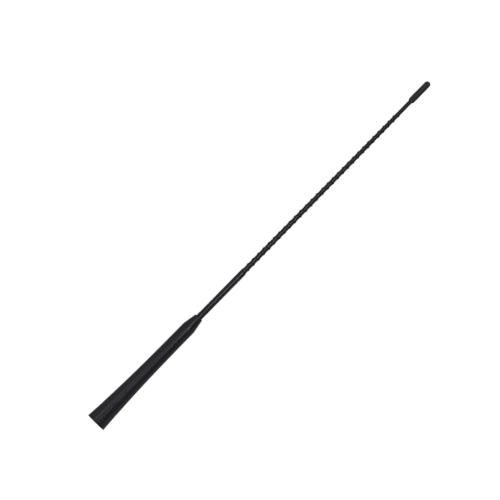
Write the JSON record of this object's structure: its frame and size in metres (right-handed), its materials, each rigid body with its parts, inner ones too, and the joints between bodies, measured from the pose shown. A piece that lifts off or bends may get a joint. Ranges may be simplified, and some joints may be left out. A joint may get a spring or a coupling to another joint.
{
  "type": "car mast aerial",
  "caption": "Screw-on whip aerial for a car: slim tapered whip with a raised spiral, flared rubber boot with a threaded ferrule, and a rounded tip cap.",
  "frame": {"origin": "centre of the foot's sealing face, on the axis of the mast", "axes": "+Z along the mast from its foot to its tip; the mast is round, so X and Y lie anywhere across it"},
  "size_m": [0.0186, 0.0186, 0.4101],
  "materials": {
    "boot_rubber": "satin black",
    "ferrule_brass": "turned",
    "solder": "dull tin",
    "glass_fibre": "translucent resin",
    "copper_wire": "enamelled copper",
    "sleeve_plastic": "satin black",
    "cap_rubber": "matte black"
  },
  "bodies": {
    "root": {"boot": "boot_rubber", "ferrule": "ferrule_brass", "solder_ring": "solder", "core_rod": "glass_fibre", "antenna_winding": "copper_wire", "whip_sleeve": "sleeve_plastic", "tip_cap": "cap_rubber"}
  },
  "joints": []
}
